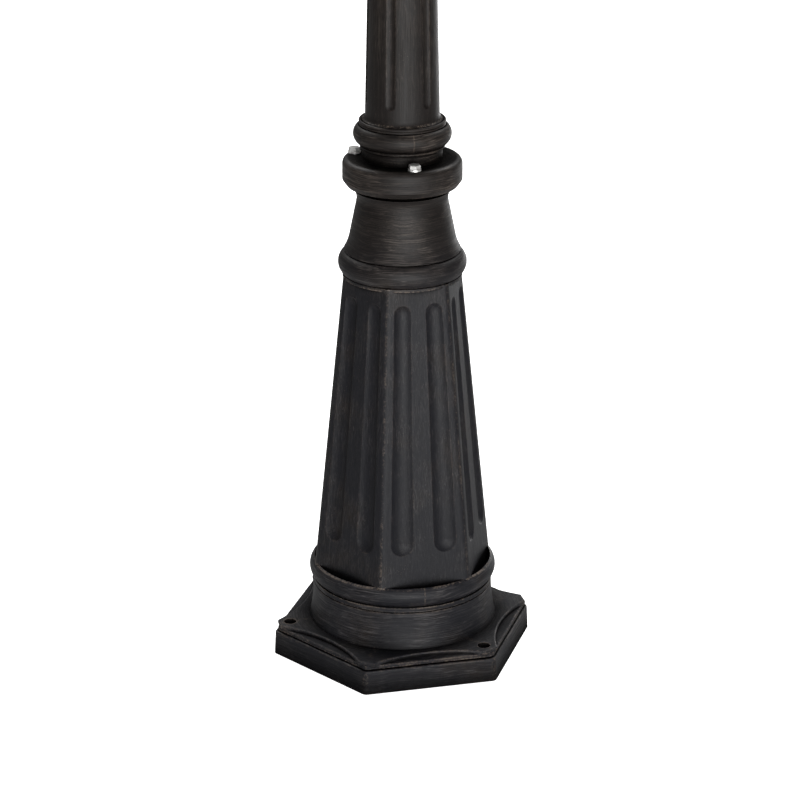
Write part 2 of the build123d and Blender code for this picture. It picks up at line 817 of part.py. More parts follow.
def bulb_outline(offset):
    # Pear-shaped outline, so far inside the glass's outer face.
    neck = bulb_neck_r - bulb_wall - offset
    ball = bulb_r - offset
    shoulder = ball * bulb_shoulder
    drop = sqrt(ball**2 - shoulder**2)
    seat = bulb_cap_top - bulb_tip_height + offset
    top = bulb_level + ball
    neck_side = Line((neck, seat), (neck, bulb_cap_top))
    flank = Spline((neck, bulb_cap_top), (shoulder, bulb_level - drop),
                   tangents=((0, 1), (drop, shoulder)))
    dome = ThreePointArc((shoulder, bulb_level - drop), (ball, bulb_level), (0, top))
    return turned(neck_side, flank, dome, Polyline((0, top), (0, seat), (neck, seat)))


def bulb_glass():
    return bulb_outline(0) - bulb_outline(bulb_wall)


def bulb_filament():
    # Glass stem with a crown of straight filaments.
    seat = bulb_cap_top - bulb_tip_height + bulb_wall
    low = bulb_level - filament_length / 2
    high = bulb_level + filament_length / 2
    body = rod(stem_r, seat, high)
    spider_r = filament_circle_r + 2 * filament_r
    body += rod(spider_r, low - filament_r, low) + rod(spider_r, high - filament_r, high)
    for place in round_about(Pos(filament_circle_r, 0, 0), sides):
        body += place * rod(filament_r, low - filament_r, high)
    return body


def terminal_block():
    body = Pos(0, -terminal_place, tray_top) * Box(
        terminal_width, terminal_depth, terminal_height, align=(Align.CENTER, Align.CENTER, Align.MIN))
    step = terminal_width / terminal_ways
    top = tray_top + terminal_height
    for i in range(terminal_ways):
        x = (i - (terminal_ways - 1) / 2) * step
        body -= rod(terminal_hole_r, top - terminal_height / 2, top, x, -terminal_place)
    return body


def lantern_roof():
    # Swept-up hexagonal roof over a flat eave, hollow inside.
    eave_top = cage_top + eave_height
    mid_level = cage_top + roof_mid_height
    body = extrude(hexagon(eave_r, cage_top), eave_height)
    body += loft([hexagon(eave_r, eave_top), hexagon(roof_mid_r, mid_level), hexagon(roof_head_r, roof_top)])
    inner_mid = hexagon(roof_mid_r - 2 * roof_wall, mid_level - 2 * roof_wall)
    inner_head = hexagon(roof_head_r - 2 * roof_wall, roof_top - 2 * roof_wall)
    inner_eave = hexagon(roof_inner_r - eave_height, eave_top)
    body -= loft([hexagon(roof_inner_r, cage_top), inner_eave, inner_mid], ruled=True)
    body -= loft([inner_mid, inner_head], ruled=True)
    body -= rod(vent_hole_r, roof_top - 3 * roof_wall, roof_top)
    body += rod(thumb_pad_r, cage_top, cage_top + thumb_pad_height, 0, -thumb_place)
    return body - rod(thumb_screw_r + thumb_room, cage_top, cage_top + thumb_pad_height, 0, -thumb_place)


def vent_crown():
    # Drum with a ring of round vent holes.
    body = rod(crown_r, roof_top, crown_top) - rod(crown_r - crown_wall, roof_top, crown_top)
    hole = Pos(0, 0, (roof_top + crown_top) / 2) * Rot(0, 90, 0) * rod(crown_hole_r, 0, 2 * crown_r)
    for cutter in round_about(hole, sides, side_step / 2):
        body -= cutter
    return body


def vent_cap():
    # Shallow hood that keeps the rain off the vent.
    brim = crown_top + vent_cap_height / 4
    slope = bent((vent_cap_r, brim), (finial_foot_r, vent_cap_top), vent_cap_bow)
    rest = Polyline((finial_foot_r, vent_cap_top), (finial_stud_r + slip_fit, vent_cap_top),
                    (finial_stud_r + slip_fit, crown_top), (vent_cap_r, crown_top), (vent_cap_r, brim))
    return turned(slope, rest)


def finial():
    # Turned knob with a ball and a drawn-out point.
    neck_top_level = vent_cap_top + finial_foot_r
    ball_level = neck_top_level + finial_ball_r
    tip = vent_cap_top + finial_height
    waist = neck_top_level + 2 * finial_ball_r
    stud_base = vent_cap_top - finial_stud_length
    edges = [
        Polyline((0, stud_base), (finial_stud_r, stud_base), (finial_stud_r, vent_cap_top),
                 (finial_foot_r, vent_cap_top)),
        bent((finial_foot_r, vent_cap_top), (finial_neck_r, neck_top_level), finial_bow),
        ThreePointArc((finial_neck_r, neck_top_level), (finial_ball_r, ball_level), (finial_neck_r, waist)),
        Polyline((finial_neck_r, waist), (finial_tip_r, tip), (0, tip), (0, stud_base))]
    return turned(*edges)


def knuckle(length, x):
    # Hinge knuckle along X with its pin hole.
    tube = Cylinder(knuckle_r, length) - Cylinder(pin_r + hinge_run, length)
    return Pos(x, hinge_y, hinge_z) * Rot(0, 90, 0) * tube


def pin_hole(length, x):
    return Pos(x, hinge_y, hinge_z) * Rot(0, 90, 0) * Cylinder(pin_r + hinge_run, length)


def cage_knuckle_x():
    return roof_knuckle_length / 2 + knuckle_gap + cage_knuckle_length / 2


def roof_hinge_leaf():
    # Knuckle on a short bar that is fixed to the edge of the eave.
    eave_y = eave_r * apothem
    bar = Pos(0, eave_y, hinge_z) * Box(
        roof_knuckle_length, hinge_y - eave_y, hinge_rise, align=(Align.CENTER, Align.MIN, Align.CENTER))
    return knuckle(roof_knuckle_length, 0) + bar - pin_hole(roof_knuckle_length, 0)


def cage_hinge_leaf():
    # Two knuckles on cranked arms from the cage's head flange, below the eave.
    flange_y = head_flange_r * apothem
    arm_top = cage_top - hinge_arm_thickness
    places = (-cage_knuckle_x(), cage_knuckle_x())
    arms = Pos(0, flange_y, arm_top) * Box(
        2 * cage_knuckle_x() + cage_knuckle_length, hinge_y - flange_y, hinge_arm_thickness,
        align=(Align.CENTER, Align.MIN, Align.MAX))
    for x in places:
        arms += Pos(x, hinge_y, hinge_z) * Box(
            cage_knuckle_length, hinge_arm_thickness, hinge_rise + 2 * hinge_arm_thickness,
            align=(Align.CENTER, Align.CENTER, Align.MAX))
        arms += knuckle(cage_knuckle_length, x)
    for x in places:
        arms -= pin_hole(cage_knuckle_length, x)
    return arms


def hinge_pin():
    length = 2 * cage_knuckle_x() + cage_knuckle_length
    return Pos(0, hinge_y, hinge_z) * Rot(0, 90, 0) * Cylinder(pin_r, length)


def thumb_screw():
    # Screw with a scalloped head that holds the roof down.
    seat = cage_top + thumb_pad_height + thumb_room
    head = rod(thumb_head_r, seat, seat + thumb_head_height)
    scallop = rod(scallop_r, seat, seat + thumb_head_height, thumb_head_r + scallop_r / 2, 0)
    for cutter in round_about(scallop, 2 * sides):
        head -= cutter
    return Pos(0, -thumb_place, 0) * (head + rod(thumb_screw_r, cage_top - thumb_reach, seat))


def save(name, shape):
    # Writes one named piece; a list becomes a group of separate solids.
    if isinstance(shape, list):
        shape = Compound(children=shape)
    export_step(shape, "parts/" + name + ".step")


os.makedirs("parts", exist_ok=True)
pieces = [plinth_casting, column_casting, collar_flange, post_foot, post_shaft, flange_bolts, flange_washers,
          column_bolts, column_washers, cable_grommet, earth_stud, earth_nuts, shaft_capital, lantern_cup,
          fitter_screws, lantern_tray, lantern_cage, cage_screws, pane_clips, lamp_nipple, nipple_nut,
          lamp_holder, socket_shell, centre_contact, bulb_cap, bulb_glass, bulb_filament, terminal_block,
          lantern_roof, vent_crown, vent_cap, finial, roof_hinge_leaf, cage_hinge_leaf, hinge_pin,
          thumb_screw]
for piece in pieces:
    save(piece.__name__, piece())
for number, pane in enumerate(glass_panes(), start=1):
    save("glass_pane_" + str(number), pane)
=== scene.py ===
import json
import math
import bmesh
import bpy
from mathutils import Matrix, Vector


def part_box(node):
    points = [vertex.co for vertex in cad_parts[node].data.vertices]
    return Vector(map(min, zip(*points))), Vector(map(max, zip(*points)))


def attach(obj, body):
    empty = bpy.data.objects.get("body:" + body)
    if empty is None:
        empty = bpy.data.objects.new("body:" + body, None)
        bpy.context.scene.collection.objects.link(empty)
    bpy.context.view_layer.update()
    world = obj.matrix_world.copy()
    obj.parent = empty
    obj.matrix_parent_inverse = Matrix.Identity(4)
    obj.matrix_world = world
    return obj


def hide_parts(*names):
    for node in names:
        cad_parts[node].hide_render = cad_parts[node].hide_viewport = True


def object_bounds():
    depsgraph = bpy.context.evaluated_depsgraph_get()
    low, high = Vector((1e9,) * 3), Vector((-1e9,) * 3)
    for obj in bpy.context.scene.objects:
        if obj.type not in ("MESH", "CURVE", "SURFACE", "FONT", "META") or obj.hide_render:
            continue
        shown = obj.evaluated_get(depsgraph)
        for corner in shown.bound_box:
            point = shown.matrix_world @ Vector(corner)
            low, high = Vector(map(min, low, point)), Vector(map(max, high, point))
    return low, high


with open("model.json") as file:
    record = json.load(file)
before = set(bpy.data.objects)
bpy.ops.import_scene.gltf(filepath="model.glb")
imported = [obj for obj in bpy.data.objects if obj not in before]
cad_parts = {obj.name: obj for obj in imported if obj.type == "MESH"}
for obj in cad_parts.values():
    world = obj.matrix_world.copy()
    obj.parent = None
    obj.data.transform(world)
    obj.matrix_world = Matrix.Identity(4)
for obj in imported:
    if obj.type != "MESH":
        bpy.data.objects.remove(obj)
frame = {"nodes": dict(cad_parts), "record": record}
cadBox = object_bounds()
nodes = frame["nodes"]
scene = bpy.context.scene


# shader maths: a Val is one socket, and an expression on Vals adds Math nodes
class Val:
    def __init__(self, finish, socket):
        self.finish = finish
        self.socket = socket

    def math(self, operation, *values):
        return self.finish.add("ShaderNodeMath", {"operation": operation}, dict(enumerate(values)))

    def __add__(self, other):
        return self.math("ADD", self, other)

    def __radd__(self, other):
        return self.math("ADD", other, self)

    def __sub__(self, other):
        return self.math("SUBTRACT", self, other)

    def __rsub__(self, other):
        return self.math("SUBTRACT", other, self)

    def __mul__(self, other):
        return self.math("MULTIPLY", self, other)

    def __pow__(self, other):
        return self.math("POWER", self, other)

    def __abs__(self):
        return self.math("ABSOLUTE", self)

    def most(self, other):
        return self.math("MAXIMUM", self, other)

    def step(self, low, high, toLow=0.0, toHigh=1.0):
        # soft step from one value to another
        return self.finish.add("ShaderNodeMapRange", {"interpolation_type": "SMOOTHSTEP"},
                               {"Value": self, "From Min": low, "From Max": high,
                                "To Min": toLow, "To Max": toHigh})


# one material with a Principled shader, read in Object coordinates
class Finish:
    def __init__(self, name):
        self.material = bpy.data.materials.new(name)
        self.material.use_nodes = True
        self.tree = self.material.node_tree
        self.tree.nodes.clear()
        self.place = self.add("ShaderNodeTexCoord", {}, {}, "Object")

    def add(self, kind, settings, sockets, output=0):
        node = self.tree.nodes.new(kind)
        for name, value in settings.items():
            setattr(node, name, value)
        for name, value in sockets.items():
            if isinstance(value, Val):
                self.tree.links.new(value.socket, node.inputs[name])
            elif isinstance(value, tuple) and len(value) == 3 and node.inputs[name].type == "RGBA":
                node.inputs[name].default_value = (*value, 1)
            else:
                node.inputs[name].default_value = value
        return Val(self, node.outputs[output])

    def stretched(self, x, y, z):
        # the object's coordinates, scaled along each axis
        return self.add("ShaderNodeMapping", {}, {"Vector": self.place, "Scale": (x, y, z)})

    def noise(self, where, scale, detail=3.0, rough=0.55):
        return self.add("ShaderNodeTexNoise", {}, {"Vector": where, "Scale": scale, "Detail": detail,
                                                   "Roughness": rough}, "Fac")

    def cells(self, where, scale):
        return self.add("ShaderNodeTexVoronoi", {"feature": "F1"},
                        {"Vector": where, "Scale": scale}, "Distance")

    def axes(self):
        parts = self.add("ShaderNodeSeparateXYZ", {}, {"Vector": self.place})
        outs = parts.socket.node.outputs
        return Val(self, outs["X"]), Val(self, outs["Y"]), Val(self, outs["Z"])

    def mix(self, share, first, second):
        return self.add("ShaderNodeMix", {"data_type": "RGBA"}, {0: share, 6: first, 7: second}, 2)

    def tint(self, colour, strength):
        # a colour made lighter or darker by a value
        return self.add("ShaderNodeMix", {"data_type": "RGBA", "blend_type": "MULTIPLY"},
                        {0: 1.0, 6: colour, 7: self.grey(strength)}, 2)

    def grey(self, value):
        return self.add("ShaderNodeCombineColor", {}, {"Red": value, "Green": value, "Blue": value})

    def hidden(self, distance, inside=False, local=True):
        # how much of the surroundings is covered: inside the metal at outer edges, outside in corners
        settings = {"samples": 8, "inside": inside, "only_local": local}
        return 1 - self.add("ShaderNodeAmbientOcclusion", settings, {"Distance": distance}, "AO")

    def bump(self, height, strength, depth, under=None):
        sockets = {"Height": height, "Strength": strength, "Distance": depth}
        if under is not None:
            sockets["Normal"] = under
        return self.add("ShaderNodeBump", {}, sockets, "Normal")

    def shader(self, **sockets):
        named = {name.replace("_", " "): value for name, value in sockets.items()}
        return self.add("ShaderNodeBsdfPrincipled", {}, named)

    def show(self, shader):
        out = self.tree.nodes.new("ShaderNodeOutputMaterial")
        self.tree.links.new(shader.socket, out.inputs["Surface"])
        return self.material

    def done(self, **sockets):
        return self.show(self.shader(**sockets))


# black antique paint, brushed on and rubbed back to a pale brown on the edges, with painted shade laid into
# its corners and recesses
paintLook = {
    "black": (0.0077, 0.0078, 0.0102),
    "warmBlack": (0.0082, 0.0064, 0.0057),
    "brown": (0.0150, 0.0112, 0.0088),
    # near-black matt colour that paints shade into corners and recesses
    "paintedShade": (0.0016, 0.0014, 0.0013),
    "strokeGrey": (0.115, 0.110, 0.112),
    "strokeBrown": (0.125, 0.104, 0.090),
    "rub": (0.180, 0.142, 0.114),
    "brushes": ((420.0, 11.0, 0.032), (1000.0, 22.0, 0.045)),
    "upStrokes": 0.21,
    "ringStrokes": 0.46,
    "edgeReach": 0.0022,
    # how far the painted shade reaches: close in corners, further in recesses near other parts and the floor
    "creviceShade": 0.005,
    "recessShade": 0.045,
    "softEdge": 0.0007,
    "flatBelow": 0.029,
    "brownAbove": 0.385,
    "handled": (0.478, 0.545),
    "shine": 0.22,
    "cloudScale": 24.0,
    "grainScale": 900.0,
    "dotScale": 420.0,
    "seamClear": (0.0025, 0.004),
    "rubShare": 0.58,
    "speckShare": 0.35,
    "ridgeShare": 0.30,
    # how dark the painted shade gets in corners and in recesses
    "creviceShadeShare": 0.92,
    "recessShadeShare": 0.86,
    "roughness": 0.52,
    "bumpStrength": 0.45,
    "bumpDepth": 0.0006,
}


def antiquePaint(name, roundFrom=-1.0, mouldLine=(), plainSeams=(), corners=None):
    look = paintLook
    f = Finish(name)
    x, y, z = f.axes()
    out = (x * x + y * y) ** 0.5 * z.step(look["flatBelow"] - 0.001, look["flatBelow"])
    # brush lines run round the turned stretches and up the flat ones, in a coarse and a fine set
    turnedPart = z.step(roundFrom - 0.002, roundFrom + 0.002)
    sway = (f.noise(f.place, 20.0, 2.0) - 0.5) * 0.008
    lines, scratches = [], []
    for pitch, run, width in look["brushes"]:
        around = f.add("ShaderNodeCombineXYZ", {}, {"X": x * run, "Y": y * run, "Z": (z + sway) * pitch})
        upward = f.add("ShaderNodeCombineXYZ", {}, {"X": x * pitch, "Y": y * pitch, "Z": z * run})
        ringed = f.add("ShaderNodeTexNoise", {"noise_dimensions": "4D"},
                       {"Vector": around, "W": out * pitch, "Scale": 1.0, "Detail": 2.0}, "Fac")
        line = f.noise(upward, 1.0, 2.0, 0.5)
        if roundFrom < cadBox[1][2]:
            line = ringed * turnedPart + line * (1 - turnedPart) if roundFrom > 0 else ringed
        lines.append(line)
        # a thin scratch lies where the noise crosses its middle value
        scratches.append(abs(line - 0.5).step(0.0, width, 1.0, 0.0))
    brush = lines[0] * 0.35 + lines[1] * 0.65
    cloud = f.noise(f.place, look["cloudScale"], 4.0, 0.6)
    grain = f.noise(f.place, look["grainScale"], 3.0, 0.65)
    dots = f.noise(f.place, look["dotScale"], 2.0, 0.5)
    worn = f.add("ShaderNodeAttribute", {"attribute_name": "wear"}, {}, "Fac")
    edge = f.hidden(look["edgeReach"], inside=True).most(worn * 0.22)
    for level in plainSeams:
        edge = edge * abs(z - level).step(*look["seamClear"])
    # painted shade: darker where the surroundings cover the surface, close in corners and further in
    # recesses, the floor included
    creviceShade = f.hidden(look["creviceShade"], local=False).step(0.14, 0.55)
    recessShade = f.hidden(look["recessShade"], local=False).step(0.12, 0.46)
    # pale strokes lie in patches, and the rub keeps to the outer edges in dots and dashes
    stroke = scratches[0].most(scratches[1] * 0.6) * (0.30 + cloud.step(0.42, 0.62) * 0.70)
    marks = (dots - 0.5) * 2.4 + (brush - 0.5) * 2.0 + (cloud - 0.5) * 2.2 + 0.35
    rub = edge.step(0.04, 0.34) * marks.step(0.1, 0.9)
    if corners:
        # hexagon's upright corners wear in a dotted line
        fromCorner = x.math("PINGPONG", x.math("ARCTAN2", y, x) - math.radians(corners["turn"]), math.pi / 6)
        line = (fromCorner * (x * x + y * y) ** 0.5).step(corners["width"] / 4, corners["width"], 1.0, 0.0)
        line = line * z.step(corners["below"] - 0.001, corners["below"], 1.0, 0.0)
        marks = (dots - 0.5) * 2.8 + (grain - 0.5) * 2.0 + (cloud - 0.5) * 1.6 + 0.2
        rub = rub.most(line * marks.step(0.1, 0.9) * corners["share"])
    ridge = 0.0
    for low, high in mouldLine:
        # casting's parting line, where the two halves of the mould met
        wander = (f.noise(f.place, 160.0, 2.0) - 0.5) * 0.0012
        line = abs(x + wander).step(0.0003, 0.0010, 1.0, 0.0) * z.step(low, low + 0.001)
        ridge = ridge + line * z.step(high - 0.001, high, 1.0, 0.0) * dots.step(0.35, 0.6)
    film = (cloud * 0.8 + grain * 0.3).step(0.52, 0.85)
    speck = (0.13 - f.cells(f.place, 420.0)).step(0.0, 0.05) * f.noise(f.place, 45.0).step(0.52, 0.66)
    raised = z.step(look["brownAbove"] - 0.03, look["brownAbove"] + 0.06)
    colour = f.mix(film, f.mix(raised, look["black"], look["warmBlack"]), look["brown"])
    colour = f.tint(colour, 0.30 + brush * 0.95 + grain * 0.45)
    handled = z.step(look["handled"][0], look["handled"][0] + 0.004)
    handled = handled * z.step(look["handled"][1] - 0.004, look["handled"][1], 1.0, 0.0)
    strokeTone = f.mix(raised, look["strokeGrey"], look["strokeBrown"])
    strokes = look["upStrokes"] + turnedPart * (look["ringStrokes"] - look["upStrokes"])
    colour = f.mix(stroke * strokes * (1 + handled * 0.3), colour, strokeTone)
    colour = f.mix(rub * look["rubShare"], colour, look["rub"])
    colour = f.mix(speck * look["speckShare"] + ridge * look["ridgeShare"], colour, look["rub"])
    rough = look["roughness"] + (brush - 0.5) * 0.45 + (grain - 0.5) * 0.16
    height = brush * 0.7 + grain * 0.22 + f.noise(f.place, 110.0, 2.0) * 0.5 + ridge
    soft = f.add("ShaderNodeBevel", {"samples": 4}, {"Radius": look["softEdge"]}, "Normal")
    normal = f.bump(height, look["bumpStrength"], look["bumpDepth"], soft)
    paint = f.shader(Base_Color=colour, Roughness=rough, Specular_IOR_Level=look["shine"], Normal=normal)
    # painted shade: a near-black matt shader mixed in where corners and recesses are covered
    paintedShade = f.shader(Base_Color=look["paintedShade"], Roughness=1.0, Specular_IOR_Level=0.0)
    shadeMix = (creviceShade * look["creviceShadeShare"]).most(recessShade * look["recessShadeShare"])
    return f.show(f.add("ShaderNodeMixShader", {}, {0: shadeMix, 1: paint, 2: paintedShade}))


# levels of the ring's foot on the column, and of the neck's head
ringFoot = 0.3845
neckHead = 0.469455
paintRound = antiquePaint("antique_paint_brushed_round", mouldLine=((0.075, 0.094), (0.516, 0.534)),
                          plainSeams=(neckHead, 0.488255, 0.5355),
                          corners={"turn": 0.0, "width": 0.0045, "below": 0.034, "share": 0.55})
paintFlat = antiquePaint("antique_paint_brushed_up", roundFrom=8.0)
paintColumn = antiquePaint("antique_paint_column", roundFrom=ringFoot, plainSeams=(0.4112, neckHead),
                           corners={"turn": 2.3, "width": 0.0018, "below": ringFoot, "share": 0.50})


def boltZinc():
    f = Finish("bright_zinc_plate")
    flakes = f.cells(f.place, 900.0)
    wear = f.noise(f.place, 250.0, 3.0)
    lines = f.noise(f.stretched(2200.0, 2200.0, 60.0), 1.0, 2.0)
    colour = f.mix(wear.step(0.35, 0.75), (0.86, 0.85, 0.83), (0.62, 0.61, 0.58))
    # painted shade: the colour is darker where other surfaces are close
    colour = f.tint(colour, 1 - f.hidden(0.004, local=False) * 0.5)
    return f.done(Base_Color=colour, Metallic=0.65, Roughness=0.26 + flakes * 0.12 + wear * 0.14,
                  Normal=f.bump(lines * 0.5 + flakes * 0.5, 0.25, 0.0002))


def turnedBrass():
    f = Finish("dull_turned_brass")
    rings = f.noise(f.stretched(60.0, 60.0, 2600.0), 1.0, 3.0)
    tarnish = f.noise(f.place, 120.0, 4.0)
    colour = f.mix(tarnish.step(0.4, 0.75), (0.72, 0.52, 0.24), (0.40, 0.27, 0.12))
    # painted shade: the colour is darker where other surfaces are close
    colour = f.tint(colour, 1 - f.hidden(0.004, local=False) * 0.4)
    return f.done(Base_Color=colour, Metallic=1.0, Roughness=0.26 + rings * 0.12 + tarnish * 0.16,
                  Normal=f.bump(rings, 0.25, 0.0002))


def rolledAluminium():
    f = Finish("rolled_aluminium_cap")
    rings = f.noise(f.stretched(40.0, 40.0, 3000.0), 1.0, 3.0)
    colour = f.mix(f.noise(f.place, 160.0).step(0.4, 0.7), (0.80, 0.80, 0.79), (0.66, 0.66, 0.64))
    return f.done(Base_Color=colour, Metallic=1.0, Roughness=0.28 + rings * 0.12,
                  Normal=f.bump(rings, 0.2, 0.0002))


def paneGlass():
    f = Finish("clear_pane_glass")
    smear = f.noise(f.stretched(30.0, 30.0, 9.0), 1.0, 4.0)
    # colour greyer and yellower, and roughness higher, where other surfaces are close
    dust = f.hidden(0.012, local=False)
    colour = f.mix(dust, (0.93, 0.96, 0.95), (0.72, 0.72, 0.66))
    return f.done(Base_Color=colour, Roughness=0.02 + smear.step(0.5, 0.8) * 0.05 + dust * 0.25, IOR=1.46,
                  Transmission_Weight=1.0, Normal=f.bump(f.noise(f.place, 14.0, 2.0), 0.06, 0.002))


def blownGlass():
    f = Finish("clear_blown_glass")
    waves = f.noise(f.place, 40.0, 2.0)
    colour = f.mix(f.noise(f.place, 220.0).step(0.5, 0.8), (0.98, 0.97, 0.94), (0.94, 0.92, 0.87))
    return f.done(Base_Color=colour, Roughness=0.01 + waves.step(0.5, 0.9) * 0.03, IOR=1.45,
                  Transmission_Weight=1.0, Normal=f.bump(waves, 0.05, 0.002))


def coatedFilament():
    f = Finish("yellow_coated_filament")
    grain = f.noise(f.place, 1500.0, 2.0)
    colour = f.mix(grain, (0.92, 0.62, 0.14), (0.80, 0.50, 0.10))
    return f.done(Base_Color=colour, Roughness=0.45 + grain * 0.2, Normal=f.bump(grain, 0.3, 0.0003))


def blackRubber():
    f = Finish("matt_black_rubber")
    grain = f.noise(f.place, 900.0, 3.0)
    dust = f.noise(f.place, 90.0, 4.0).step(0.5, 0.8)
    colour = f.mix(dust * 0.4, (0.012, 0.012, 0.012), (0.06, 0.055, 0.05))
    return f.done(Base_Color=colour, Roughness=0.7 + grain * 0.2, Normal=f.bump(grain, 0.4, 0.0003))


def glazedWhite():
    f = Finish("glazed_white_holder")
    pits = f.noise(f.place, 700.0, 2.0)
    tone = f.noise(f.place, 60.0, 3.0)
    colour = f.mix(tone, (0.80, 0.78, 0.72), (0.70, 0.67, 0.60))
    # painted shade: the colour is darker where other surfaces are close
    colour = f.tint(colour, 1 - f.hidden(0.008, local=False) * 0.4)
    return f.done(Base_Color=colour, Roughness=0.16 + pits * 0.10, Coat_Weight=0.5,
                  Normal=f.bump(pits, 0.12, 0.0003))


def terminalPlastic():
    f = Finish("matt_terminal_plastic")
    grain = f.noise(f.place, 1200.0, 2.0)
    colour = f.mix(grain, (0.74, 0.73, 0.68), (0.66, 0.65, 0.60))
    # painted shade: the colour is darker where other surfaces are close
    colour = f.tint(colour, 1 - f.hidden(0.005, local=False) * 0.5)
    return f.done(Base_Color=colour, Roughness=0.5 + grain * 0.2, Normal=f.bump(grain, 0.3, 0.0002))


slotFinish = {
    "zinc_steel": boltZinc(),
    "brass": turnedBrass(),
    "cap_metal": rolledAluminium(),
    "pane_glass": paneGlass(),
    "bulb_glass": blownGlass(),
    "filament": coatedFilament(),
    "black_rubber": blackRubber(),
    "white_holder": glazedWhite(),
    "terminal_plastic": terminalPlastic(),
}
flatNodes = ("post_shaft", "lantern_cage", "lantern_tray")
for part in frame["record"]["subparts"]:
    node = nodes[part["node"]]
    finish = slotFinish.get(part["material_slot"])
    if finish is None:
        finish = paintFlat if part["node"] in flatNodes else paintRound
        finish = paintColumn if part["node"] == "column_casting" else finish
    node.data.materials.clear()
    node.data.materials.append(finish)
print("finishes: set on", len(nodes), "nodes")


mergeWithin = 0.000001


def finishMesh(bm, name, material, sharp=35.0):
    # a bmesh becomes a piece at the origin, smooth but for its sharp edges
    bmesh.ops.remove_doubles(bm, verts=bm.verts, dist=mergeWithin)
    bmesh.ops.recalc_face_normals(bm, faces=bm.faces)
    for face in bm.faces:
        face.smooth = True
    for edge in bm.edges:
        edge.smooth = edge.calc_face_angle(0) < math.radians(sharp)
    mesh = bpy.data.meshes.new(name)
    bm.to_mesh(mesh)
    bm.free()
    mesh.materials.append(material)
    piece = bpy.data.objects.new(name, mesh)
    scene.collection.objects.link(piece)
    return piece


def turnedMesh(outline, steps):
    # closed outline of radius and height, spun round the post's axis
    bm = bmesh.new()
    ring = [bm.verts.new((radius, 0, level)) for radius, level in outline]
    for first, second in zip(ring, ring[1:] + ring[:1]):
        bm.edges.new((first, second))
    bmesh.ops.spin(bm, geom=bm.verts[:] + bm.edges[:], cent=(0, 0, 0), axis=(0, 0, 1), angle=2 * math.pi,
                   steps=steps, use_merge=True)
    return bm


def spread(first, last, count):
    # evenly spaced values, without the first
    return [first + (last - first) * (i + 1) / count for i in range(count)]


# fluted shaft, with flutes that run out softly at both ends
shaftLook = {
    "footRadius": 0.0353, "headRadius": 0.0182, "flare": 0.0385, "flareRise": 0.0065,
    "spigot": 0.02885, "wall": 0.005,
    "flutes": 6, "fluteTurn": -2.5, "fluteDepth": 0.0019, "footWidth": 0.0094, "headWidth": 0.0056,
    "footGap": 0.016, "headGap": 0.026, "softness": 0.0007, "steps": 360,
    "onSurface": 0.0001,
}


def flutedShaft():
    look = shaftLook
    base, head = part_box("post_shaft")[0][2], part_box("post_shaft")[1][2]
    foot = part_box("post_foot")[1][2]

    def radiusAt(level):
        return look["footRadius"] + (look["headRadius"] - look["footRadius"]) * (level - foot) / (head - foot)

    def cutterRadius(width):
        return (width * width / 4 + look["fluteDepth"] ** 2) / (2 * look["fluteDepth"])

    low = foot + look["footGap"] + look["footWidth"] / 2
    high = head - look["headGap"] - look["headWidth"] / 2
    lowCutter, highCutter = cutterRadius(look["footWidth"]), cutterRadius(look["headWidth"])
    flareTop = foot + look["flareRise"]
    # close levels where the flutes end, wide ones between
    stops = ((foot + 0.012, 3), (low + 0.003, 26), (high - 0.003, 40), (head - 0.020, 22), (head, 4))
    levels, last = [], flareTop
    for level, count in stops:
        levels += spread(last, level, count)
        last = level
    outline = [(look["flare"], foot)]
    for share in spread(0.0, 1.0, 8):
        # quarter-round hollow from the flare's rim to the shaft
        swing = math.pi / 2 * share
        reach = look["flare"] - radiusAt(flareTop)
        level = foot + look["flareRise"] * (1 - math.cos(swing))
        outline.append((look["flare"] - reach * math.sin(swing), level))
    outline += [(radiusAt(level), level) for level in levels]
    bore = look["spigot"] - look["wall"]
    outline += [(look["headRadius"] - look["wall"], head), (bore, foot), (bore, base), (look["spigot"], base),
                (look["spigot"], foot)]
    bm = turnedMesh(outline, look["steps"])
    wear = bm.verts.layers.float.new("wear")
    for vert in bm.verts:
        level = vert.co.z
        radius = math.hypot(vert.co.x, vert.co.y)
        if level < flareTop or abs(radius - radiusAt(level)) > look["onSurface"]:
            continue
        share = min(max((level - low) / (high - low), 0.0), 1.0)
        cutter = lowCutter + (highCutter - lowCutter) * share
        beyond = max(low - level, level - high, 0.0)
        axis = radiusAt(low + (high - low) * share) + cutter - look["fluteDepth"]
        step = 2 * math.pi / look["flutes"]
        angle = math.atan2(vert.co.y, vert.co.x) - math.radians(look["fluteTurn"])
        angle = (angle + step / 2) % step - step / 2
        room = cutter ** 2 - beyond ** 2 - (axis * math.sin(angle)) ** 2
        if beyond >= cutter or room <= 0 or abs(angle) > step / 3:
            continue
        carved = axis * math.cos(angle) - math.sqrt(room)
        # soft minimum of the two radii, so the flute's edge is rounded
        gap = max(look["softness"] - abs(carved - radius), 0.0) / look["softness"]
        new = min(carved, radius) - gap * gap * look["softness"] / 4
        vert[wear] = gap
        vert.co.x *= new / radius
        vert.co.y *= new / radius
    piece = finishMesh(bm, "fluted_shaft", paintFlat)
    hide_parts("post_shaft")
    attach(piece, "post")


flutedShaft()
print("shaft: remodelled with", shaftLook["flutes"], "flutes")


# mouldings that run out from the neck's cone: a cove under the collar, and a lip over the ring's head
neckLook = {
    "footRadius": 0.0535, "headRadius": 0.0418, "height": 0.0582, "inside": 0.0395, "buried": 0.0004,
    "steps": 180,
    "cove": {"from": -0.0105, "to": 0.0012, "flare": 0.0046, "power": 2.2},
    "lip": {"from": 0.0150, "to": 0.0003, "flare": 0.0024, "power": 2.4},
    "lipEdge": 0.0007, "points": 14,
}


